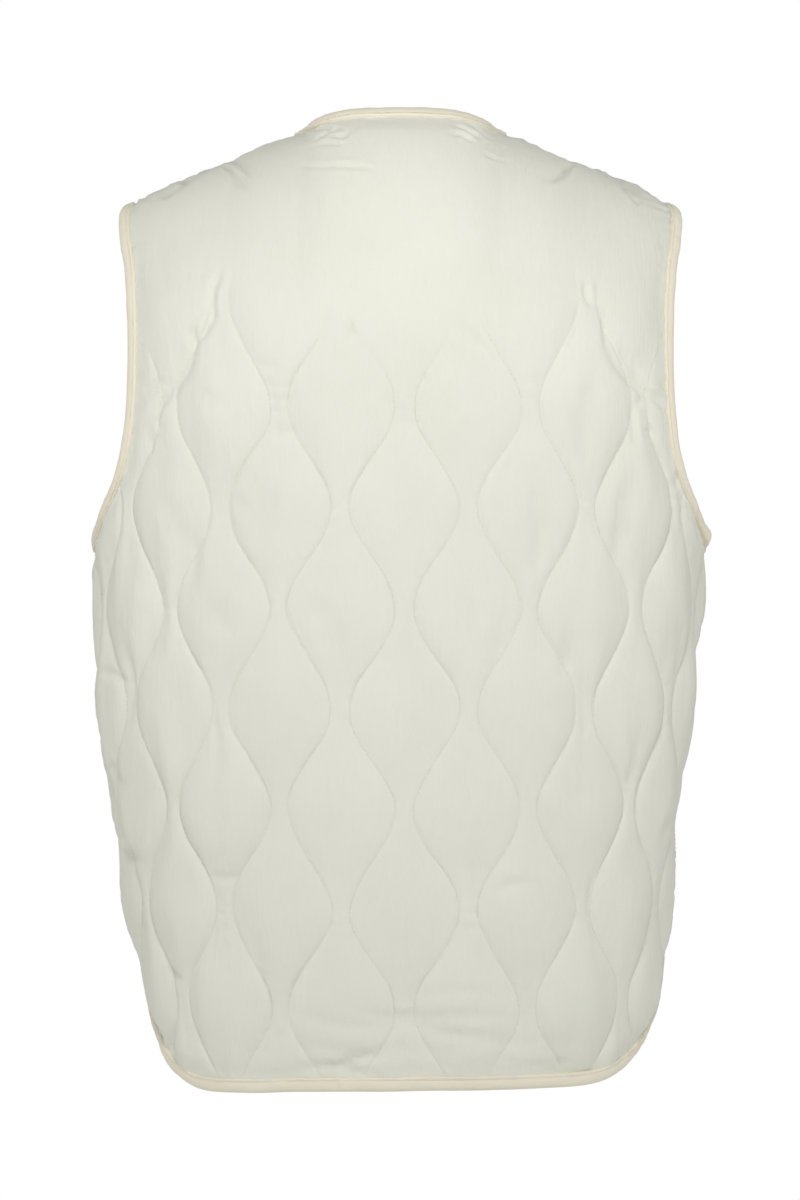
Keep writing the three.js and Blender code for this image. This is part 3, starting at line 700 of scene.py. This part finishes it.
def relief(cloth, creases, sharp):
    """How far the outer side of the cloth stands off its plain inner side."""
    taut = cloth.taut_share()
    calm = 0.5 + 0.5 * eased((np.abs(cloth.across) - 30) / 110)
    bulge = np.clip(1 - np.abs(2 * cloth.share - 1) ** 2.2, 0, 1) ** 0.8
    lifted = padded(cloth, taut, bulge, calm) + sewn_lines(cloth, taut) + gathers(cloth)
    lifted += loose_cloth(cloth, taut, bulge, calm) + crumpled(cloth)
    lifted -= crease_depth(creases, cloth.across, cloth.along) * np.clip(0.5 + bulge, 0, 1)
    lifted -= line_depth(sharp, cloth.across, cloth.along)
    lifted *= eased(cloth.from_seam / SEAM_EASE)
    lifted -= SEAM_DIP * np.exp(-(cloth.from_seam / 1.2) ** 2)
    beside_tape = UNDER_TAPE + TAPE_SLOPE * np.maximum(cloth.from_tape + 0.5, 0)
    return np.minimum(WALL + np.maximum(lifted, -0.6 * WALL), beside_tape)


# Sides of a block of two by two cells: where the next block lies, and three places along the side
BLOCK_SIDES = (
    ((0, -1), ((0, 0), (1, 0), (2, 0))), ((1, 0), ((2, 0), (2, 1), (2, 2))),
    ((0, 1), ((2, 2), (1, 2), (0, 2))), ((-1, 0), ((0, 2), (0, 1), (0, 0))),
)


def wall_faces(stuck):
    """Faces of a closed wall where the cloth is free: fine cells outside, blocks inside, and a rim."""
    rows, size = stuck.shape
    below = rows * size
    blocks = np.zeros((size // 2, rows // 2), dtype=bool)
    for i in range(3):
        for j in range(3):
            blocks |= ~stuck[j:j + rows - 2:2, i:i + size - 2:2].T
    faces = []
    for i, j in zip(*np.nonzero(blocks)):
        at = {(p, q): int((2 * j + q) * size + 2 * i + p) for p in range(3) for q in range(3)}
        for p in range(2):
            for q in range(2):
                faces.append((at[p, q], at[p + 1, q], at[p + 1, q + 1], at[p, q + 1]))
        faces.append(tuple(below + at[corner] for corner in ((0, 2), (2, 2), (2, 0), (0, 0))))
        for (di, dj), places in BLOCK_SIDES:
            ni, nj = i + di, j + dj
            if 0 <= ni < blocks.shape[0] and 0 <= nj < blocks.shape[1] and blocks[ni, nj]:
                continue
            first, middle, last = (at[place] for place in places)
            faces.append((middle, first, below + first))
            faces.append((middle, below + first, below + last))
            faces.append((last, middle, below + last))
    return faces


def quilted_panel(name, material, side, direction, edges, lines, shift, seed, creases, sharp):
    """A closed quilted wall: fine outside, plain and coarser inside, held at seams and edges."""
    first_line, last_line = lines
    cloth = Cloth(side, first_line, last_line, shift, seed)
    points, beyond = cloth_points(side, cloth.across, cloth.along)
    nearest = Nearest([EDGES[key] for key in edges], direction)
    found, inward = nearest.find(points)
    held = (inward < TUCK) | (points[..., 0] * direction < 0)
    tucked = nearest.places[found] + nearest.across[found] * (TUCK * nearest.wide[found])[..., None]
    points = np.where(held[..., None], tucked, points)
    seam = side.sign * SEAM_GAP
    points[..., 1] = np.where(side.sign * points[..., 1] < SEAM_GAP, seam, points[..., 1])

    cloth.measure(points, inward, nearest.lengths[found])
    near_edge = np.clip(1 - (inward - TUCK) / 8, 0, 1)[..., None]
    normals = unit(form_normal(side, points) * (1 - near_edge) + nearest.out[found] * near_edge)
    rise = np.where(held, WALL, relief(cloth, creases, sharp))
    outer = points + normals * rise[..., None]
    at_seam = np.abs(points[..., 1]) <= SEAM_GAP + 0.001
    outer[..., 1] = np.where(at_seam, seam, outer[..., 1])
    stuck = beyond | held

    coordinates = np.concatenate((outer.reshape(-1, 3), points.reshape(-1, 3))) * MM
    flat_uv = np.stack((cloth.across, cloth.along), axis=-1).reshape(-1, 2) * MM
    uv = np.concatenate((flat_uv, flat_uv))
    panel = mesh_object(name, coordinates, wall_faces(stuck), material, uv)
    sewn = ~stuck & (inward > BINDING_WIDTH + 1) & (cloth.yoke_share() < 0.6)
    on_line = range(0, outer.shape[1] - 1, STRIP_COLUMNS)
    return panel, [(outer[:, at], normals[:, at], sewn[:, at]) for at in on_line]


def add_object(name, data):
    made = bpy.data.objects.new(name, data)
    bpy.context.scene.collection.objects.link(made)
    return made


def mesh_object(name, coordinates, faces, material, uv=None):
    """A mesh with shared points, faces pointing out, smooth shading and cloth coordinates."""
    mesh = bpy.data.meshes.new(name)
    mesh.from_pydata(coordinates.tolist(), [], faces)
    work = bmesh.new()
    work.from_mesh(mesh)
    if uv is not None:
        layer = work.loops.layers.uv.new("cloth")
        for face in work.faces:
            for loop in face.loops:
                loop[layer].uv = uv[loop.vert.index]
    bmesh.ops.delete(work, geom=[v for v in work.verts if not v.link_faces], context="VERTS")
    bmesh.ops.remove_doubles(work, verts=work.verts, dist=2e-6)
    bmesh.ops.dissolve_degenerate(work, edges=work.edges, dist=1e-6)
    bmesh.ops.recalc_face_normals(work, faces=work.faces)
    for face in work.faces:
        face.smooth = True
    work.to_mesh(mesh)
    work.free()
    mesh.materials.append(material)
    return add_object(name, mesh)


def tube_faces(base, rows, size, closed=False):
    """Faces over rings of points, with flat ends unless the last ring meets the first."""
    rings = np.arange(base, base + rows * size).reshape(rows, size).tolist()
    faces = [] if closed else [tuple(rings[0]), tuple(rings[-1][::-1])]
    for low, high in zip(rings, rings[1:] + rings[:1] if closed else rings[1:]):
        for i in range(size):
            n = (i + 1) % size
            faces.append((low[i], low[n], high[n], high[i]))
    return faces


# Bound edges

# Section of a folded tape: place into the cloth, place out of it
TAPE_SECTION = [
    (10.0, 2.2), (10.05, 3.3), (9.9, 4.0), (9.45, 4.4), (8.8, 4.5), (8.3, 4.3), (7.8, 4.5), (6.6, 4.85),
    (5.0, 5.0), (3.4, 4.95), (2.0, 4.6), (0.9, 4.0), (0.2, 3.1), (0.0, 1.95), (0.2, 0.8), (0.9, -0.1),
    (2.0, -0.7), (3.4, -0.95), (5.5, -1.05), (7.8, -0.95), (9.4, -0.8), (10.0, -0.3), (10.0, 0.9),
]
# Section of a bound pocket mouth: a lip on each side of the slit, the first one from the slit outwards
LIP_SECTION = [
    (0.2, 4.6), (0.5, 6.3), (1.2, 7.3), (2.2, 7.8), (3.4, 7.9), (4.6, 7.7), (5.6, 7.1), (6.3, 6.0),
    (6.6, 4.4), (6.5, 0.8),
]
OTHER_LIP = [(-into, up) for into, up in reversed(LIP_SECTION)]
LIPS_SECTION = [*OTHER_LIP, (0.0, 3.2), *LIP_SECTION, (3.0, 0.4), (-3.0, 0.4)]
JOIN_AT_X = 40.4  # where the hem's tape ends overlap, on the left of the middle of the back
JOIN_RISE = 1.0
JOIN_LENGTH = 9.0
JOIN_RINGS = (-0.6, -0.1, 0.1, 0.5, 0.9)  # extra rings beside the upper end
LUMP_AT_Z = -298.5  # the tape bunches up under the right arm, just behind the side seam
LUMP_RISE = 3.2
LUMP_LENGTH = 9.0
STITCHES_INTO = 8.4  # where the stitches lie on the tape, into the cloth and out of it
STITCHES_UP = 4.3


def swept_tape(name, edge, outline, material, seed, step=2.4, join_at=None, lump_at=None):
    """A folded strip of tape along an edge, with a hand-sewn unevenness."""
    whole = edge.keys[-1]
    at = np.linspace(0, whole, max(round(whole / step), 2) + 1)
    if edge.closed:
        at = at[:-1]
    if join_at is not None:
        at = np.sort(np.concatenate((at, join_at + np.array(JOIN_RINGS))))

    places = interpolated(at, edge.keys, edge.looped(edge.places))
    out = unit(interpolated(at, edge.keys, edge.looped(edge.out)))
    across = unit(interpolated(at, edge.keys, edge.looped(edge.across)))
    across = across * np.interp(at, edge.keys, edge.looped(edge.wide))[:, None]
    outline = np.array(outline)
    run, corner = np.meshgrid(at, 2.0 * np.arange(len(outline)), indexing="ij")
    # A closed edge has the same ripples there and back, so that they meet at its start
    there = whole / TAU * np.sin(run * TAU / whole) + 300 if edge.closed else run
    into, up = outline.T
    top = np.clip(up - 3, 0, 1)
    uneven = 0.32 * waves(seed, there, corner, 26, 60) + 0.16 * waves(seed + 1, there, corner, 9, 12)
    up = up + top * uneven
    into = into + 0.35 * waves(seed + 2, there, 0 * there, 60, 60)
    stitch_dip = np.exp(-((into - STITCHES_INTO) / 0.9) ** 2)
    up -= top * stitch_dip * 0.22 * (1 + np.cos(TAU * there / STITCH_PITCH))
    if lump_at is not None:
        up += top * LUMP_RISE * np.exp(-((run - lump_at) / LUMP_LENGTH) ** 2)
    if join_at is not None:
        past = np.clip((run - join_at) / 0.4, 0, 1) * np.clip((join_at + JOIN_LENGTH - run) / 3.0, 0, 1)
        up += top * JOIN_RISE * past
    vertices = places[:, None, :] + across[:, None, :] * into[..., None] + out[:, None, :] * up[..., None]
    faces = tube_faces(0, *run.shape, edge.closed)
    uv = np.stack(np.meshgrid(lengths_along(outline), at), axis=-1).reshape(-1, 2) * MM
    return mesh_object(name, vertices.reshape(-1, 3) * MM, faces, material, uv)


# Stitches

STITCH_PITCH = 3.4
STITCH_LENGTH = 2.5
THREAD_RADIUS = 0.24
STITCH_RINGS = ((0.0, 0.15), (0.16, 0.8), (0.5, 1.0), (0.84, 0.8), (1.0, 0.15))  # share, size
STITCH_SIDES = 5
SIDE_TURNS = TAU * np.arange(STITCH_SIDES) / STITCH_SIDES


class Thread:
    """Collects short stitches, each a small rounded bead of thread, into one mesh."""

    def __init__(self):
        self.vertices, self.faces = [], []

    def lay(self, start, end, out, arch):
        sideways = np.cross(unit(end - start), out)
        ring = np.outer(np.cos(SIDE_TURNS), sideways) + np.outer(np.sin(SIDE_TURNS), out)
        base = len(self.vertices)
        for share, size in STITCH_RINGS:
            middle = start + (end - start) * share + out * arch * math.sin(share * math.pi)
            self.vertices.extend(middle + ring * THREAD_RADIUS * size)
        self.faces += tube_faces(base, len(STITCH_RINGS), STITCH_SIDES)

    def sew(self, places, outward, lift, arch=0.12):
        """Even stitches along a row of places."""
        if len(places) < 3:
            return
        lengths = lengths_along(places)
        start = STITCH_PITCH / 2
        while start + STITCH_LENGTH < lengths[-1]:
            at = (start, start + STITCH_LENGTH)
            out = unit(interpolated(at, lengths, outward))
            first, last = interpolated(at, lengths, places) + out * lift
            self.lay(first, last, unit(out[0] + out[1]), arch)
            start += STITCH_PITCH

    def made(self, name, material):
        return mesh_object(name, np.array(self.vertices) * MM, self.faces, material)


def runs_of(shown):
    """Stretches of neighbouring true values."""
    edges = np.flatnonzero(np.diff(np.concatenate(([0], shown.astype(int), [0]))))
    return list(zip(edges[::2], edges[1::2]))


def quilting_thread(name, tracks, material):
    thread = Thread()
    for places, normals, shown in tracks:
        for first, last in runs_of(shown):
            thread.sew(places[first:last], normals[first:last], 0.12)
    return thread.made(name, material)


def binding_thread(name, edge, into, up, material):
    thread = Thread()
    places, outward, across = edge.looped(edge.places), edge.looped(edge.out), edge.looped(edge.across)
    wide = edge.looped(edge.wide)[:, None]
    for offset in into:
        thread.sew(places + across * offset * wide + outward * up, outward, 0.0, arch=0.18)
    return thread.made(name, material)


# Finishes

def srgb(red, green, blue):
    values = []
    for channel in (red, green, blue):
        share = channel / 255
        values.append(share / 12.92 if share <= 0.04045 else ((share + 0.055) / 1.055) ** 2.4)
    return (*values, 1.0)


class Nodes:
    """Short way to add and join shader nodes."""

    def __init__(self, material):
        material.use_nodes = True
        self.tree = material.node_tree
        self.tree.nodes.clear()

    def add(self, kind, inputs=None, **settings):
        node = self.tree.nodes.new(kind)
        for key, value in settings.items():
            setattr(node, key, value)
        for key, value in (inputs or {}).items():
            if isinstance(value, bpy.types.NodeSocket):
                self.tree.links.new(value, node.inputs[key])
            else:
                node.inputs[key].default_value = value
        return node

    def surface(self, inputs):
        shader = self.add("ShaderNodeBsdfPrincipled", inputs)
        self.add("ShaderNodeOutputMaterial", {"Surface": shader.outputs["BSDF"]})

    def math(self, operation, first, second=0.0):
        return self.add("ShaderNodeMath", {0: first, 1: second}, operation=operation).outputs[0]

    def noise(self, vector, scale=1.0, detail=2.0, roughness=0.5):
        inputs = {"Vector": vector, "Scale": scale, "Detail": detail, "Roughness": roughness}
        return self.add("ShaderNodeTexNoise", inputs).outputs["Fac"]

    def blend(self, factor, first, second):
        mixed = self.add("ShaderNodeMix", {"Factor": factor}, data_type="RGBA")
        mixed.inputs["A"].default_value = first
        mixed.inputs["B"].default_value = second
        return mixed.outputs["Result"]

    def stretched(self, vector, scale):
        return self.add("ShaderNodeMapping", {"Vector": vector, "Scale": scale}).outputs["Vector"]

    def bump(self, height, distance, strength=1.0, normal=None):
        inputs = {"Height": height, "Distance": distance, "Strength": strength}
        if normal is not None:
            inputs["Normal"] = normal
        return self.add("ShaderNodeBump", inputs).outputs["Normal"]


def weave(nodes, vector, pitch, twill):
    """Height of crossing threads; twill shifts each row so that the floats run slanting."""
    parts = nodes.add("ShaderNodeSeparateXYZ", {"Vector": vector})
    u = nodes.math("MULTIPLY", parts.outputs["X"], TAU / pitch)
    v = nodes.math("MULTIPLY", parts.outputs["Y"], TAU / pitch)
    if twill:
        slant = nodes.math("ADD", u, v)
        first = nodes.math("SINE", nodes.math("MULTIPLY", slant, 0.5))
        second = nodes.math("SINE", v)
        return nodes.math("ADD", first, nodes.math("MULTIPLY", second, 0.4))
    return nodes.math("MULTIPLY", nodes.math("SINE", u), nodes.math("SINE", v))


def cloth_material(name, light, dark, pitch, twill, sheen, wrinkle):
    """Woven cotton: threads, slubs, soft uneven colour and fine wrinkles."""
    material = bpy.data.materials.new(name)
    nodes = Nodes(material)
    coordinates = nodes.add("ShaderNodeUVMap", uv_map="cloth").outputs["UV"]
    place = nodes.add("ShaderNodeTexCoord").outputs["Object"]
    patches = nodes.noise(place, scale=14.0, detail=3.0, roughness=0.55)
    slubs = nodes.noise(nodes.stretched(coordinates, (2600.0, 130.0, 1.0)), roughness=0.6)
    cross_slubs = nodes.noise(nodes.stretched(coordinates, (130.0, 2600.0, 1.0)), roughness=0.6)
    threads = weave(nodes, coordinates, pitch, twill)
    slub = nodes.math("ADD", slubs, cross_slubs)
    tone = nodes.math("ADD", nodes.math("MULTIPLY", patches, 0.55), nodes.math("MULTIPLY", slub, 0.22))
    crumple = nodes.noise(nodes.stretched(coordinates, (150.0, 38.0, 1.0)), detail=3.0, roughness=0.55)
    normal = nodes.bump(crumple, distance=wrinkle, strength=0.6)
    normal = nodes.bump(slub, distance=0.00012, strength=0.5, normal=normal)
    normal = nodes.bump(threads, distance=0.00006, strength=0.7, normal=normal)
    nodes.surface({
        "Base Color": nodes.blend(tone, dark, light), "Normal": normal,
        "Roughness": nodes.math("ADD", nodes.math("MULTIPLY", slub, 0.06), 0.8), "Specular IOR Level": 0.25,
        "Sheen Weight": sheen, "Sheen Roughness": 0.45, "Sheen Tint": (1.0, 0.99, 0.96, 1.0),
    })
    return material


def thread_material(name, colour):
    """Twisted sewing thread."""
    material = bpy.data.materials.new(name)
    nodes = Nodes(material)
    place = nodes.add("ShaderNodeTexCoord").outputs["Object"]
    twist = nodes.noise(place, scale=1800.0)
    shade = tuple(0.86 * channel for channel in colour[:3]) + (1.0,)
    nodes.surface({
        "Base Color": nodes.blend(twist, shade, colour), "Roughness": 0.55, "Sheen Weight": 0.2,
        "Normal": nodes.bump(twist, distance=0.0001, strength=0.5),
    })
    return material


SHELL = cloth_material(
    "quilted_shell", light=srgb(235, 235, 224), dark=srgb(221, 222, 207),
    pitch=0.00056, twill=False, sheen=0.1, wrinkle=0.0012)
TAPE = cloth_material(
    "binding", light=srgb(239, 233, 215), dark=srgb(226, 218, 197),
    pitch=0.0008, twill=True, sheen=0.08, wrinkle=0.0005)
SHELL_THREAD = thread_material("shell_thread", srgb(230, 230, 218))
TAPE_THREAD = thread_material("binding_thread", srgb(236, 229, 209))


# Garment


def place_piece(piece, slot, *nodes):
    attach(piece, "root")
    if nodes:
        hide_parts(*nodes)
    return piece


FRONT_MIRROR = [(-x0, z0, -x1, z1, width, depth * 0.9) for x0, z0, x1, z1, width, depth in FRONT_CREASES]
LINES_MIRROR = [(width, depth, [(-x, z) for x, z in places]) for width, depth, places in FRONT_LINES]
PANELS = {
    "back_panel": dict(
        side=BACK, direction=0, edges=("neck", "armhole_left", "armhole_right", "back_hem"),
        lines=(-8, 8), shift=BACK_QUILT_SHIFT, seed=11, creases=BACK_CREASES, sharp=BACK_LINES),
    "front_panel_left": dict(
        side=FRONT, direction=1, edges=("neck", "armhole_left", "front_left"),
        lines=(0, 8), shift=0.0, seed=37, creases=FRONT_CREASES, sharp=FRONT_LINES),
    "front_panel_right": dict(
        side=FRONT, direction=-1, edges=("neck", "armhole_right", "front_right"),
        lines=(-7, 1), shift=0.0, seed=59, creases=FRONT_MIRROR, sharp=LINES_MIRROR),
}
for node, settings in PANELS.items():
    panel, tracks = quilted_panel(f"{node}_quilted", SHELL, **settings)
    place_piece(panel, "quilted_shell", node)
    place_piece(quilting_thread(f"{node}_quilting", tracks, SHELL_THREAD), "quilted_shell")

BINDINGS = {
    "neck_binding": "neck", "back_hem_binding": "back_hem",
    "armhole_binding_left": "armhole_left", "armhole_binding_right": "armhole_right",
    "front_binding_left": "front_left", "front_binding_right": "front_right",
}
for seed, (node, key) in enumerate(BINDINGS.items(), start=200):
    edge = EDGES[key]
    x, y, z = edge.places.T
    marks = {}
    if node == "back_hem_binding":
        marks["join_at"] = edge.length_where(np.abs(x - JOIN_AT_X))
    if node == "armhole_binding_right":
        marks["lump_at"] = edge.length_where(np.abs(z - LUMP_AT_Z) + np.where(y > 0, 0, FAR))
    place_piece(swept_tape(f"{node}_tape", edge, TAPE_SECTION, TAPE, 7 * seed, **marks), "binding", node)
    thread = binding_thread(f"{node}_stitches", edge, (STITCHES_INTO,), STITCHES_UP, TAPE_THREAD)
    place_piece(thread, "binding")
for seed, side_name in enumerate(SIDES, start=300):
    edge = EDGES[f"pocket_{side_name}"]
    node = f"pocket_mouth_{side_name}"
    place_piece(swept_tape(f"{node}_lips", edge, LIPS_SECTION, TAPE, 7 * seed), "binding", node)
    place_piece(binding_thread(f"{node}_stitches", edge, (-5.2, 5.2), 7.4, TAPE_THREAD), "binding")


# Studio

FLOOR_HEIGHT = -1.45
FLOOR_REACH = 3.5
SOFTBOX_SIZE = 0.7
BACKGROUND = 1.0  # what the camera sees behind the vest
HORIZON_LIGHT = 0.63
ZENITH_LIGHT = 0.05


def stage_floor():
    bpy.ops.mesh.primitive_plane_add(size=2 * FLOOR_REACH, location=(0, 0, FLOOR_HEIGHT))
    floor = bpy.context.object
    floor.name = "studio_floor"
    material = bpy.data.materials.new("studio_floor")
    nodes = Nodes(material)
    nodes.surface({
        "Base Color": (0.8, 0.8, 0.8, 1.0), "Roughness": 1.0,
        "Emission Color": (1.0, 1.0, 1.0, 1.0), "Emission Strength": 0.32,
    })
    floor.data.materials.append(material)


def white_room():
    """White all round at eye level, dim overhead."""
    world = bpy.data.worlds.new("white_room")
    bpy.context.scene.world = world
    nodes = Nodes(world)
    direction = nodes.add("ShaderNodeTexCoord").outputs["Generated"]
    parts = nodes.add("ShaderNodeSeparateXYZ", {"Vector": direction})
    height = nodes.add("ShaderNodeMapRange", {
        "Value": parts.outputs["Z"], "From Min": 0.1, "From Max": 0.9,
        "To Min": HORIZON_LIGHT, "To Max": ZENITH_LIGHT,
    }, interpolation_type="SMOOTHSTEP")
    seen = nodes.add("ShaderNodeLightPath").outputs["Is Camera Ray"]
    strength = nodes.add("ShaderNodeMix", {"Factor": seen, "A": height.outputs["Result"], "B": BACKGROUND})
    background = nodes.add("ShaderNodeBackground", {
        "Color": (1.0, 1.0, 1.0, 1.0), "Strength": strength.outputs["Result"],
    })
    nodes.add("ShaderNodeOutputWorld", {"Surface": background.outputs["Background"]})


def soft_light(name, place, target, energy):
    data = bpy.data.lights.new(name, "AREA")
    data.shape = "DISK"
    data.size = SOFTBOX_SIZE
    data.energy = energy
    lamp = add_object(name, data)
    lamp.location = place
    lamp.rotation_euler = (Vector(target) - Vector(place)).to_track_quat("-Z", "Y").to_euler()
    lamp.visible_camera = False


def photo_camera():
    data = bpy.data.cameras.new("camera")
    data.sensor_fit = "VERTICAL"
    data.sensor_height = SENSOR_HEIGHT
    data.lens = SENSOR_HEIGHT * CAMERA_DISTANCE / FRAME_HEIGHT
    camera = add_object("camera", data)
    camera.location = (0, CAMERA_DISTANCE, CAMERA_HEIGHT)
    camera.rotation_euler = (math.radians(90), 0, math.radians(180))
    bpy.context.scene.camera = camera


photo_camera()
stage_floor()
white_room()
soft_light("high_softbox", place=(0, 1.5, 0.75), target=(0, 0.1, -0.2), energy=18.0)
soft_light("left_softbox", place=(1.7, 0.5, -0.3), target=(0, 0, -0.4), energy=4.3)
soft_light("right_softbox", place=(-1.7, 0.5, -0.3), target=(0, 0, -0.4), energy=4.3)
bpy.context.scene.view_settings.view_transform = "Standard"
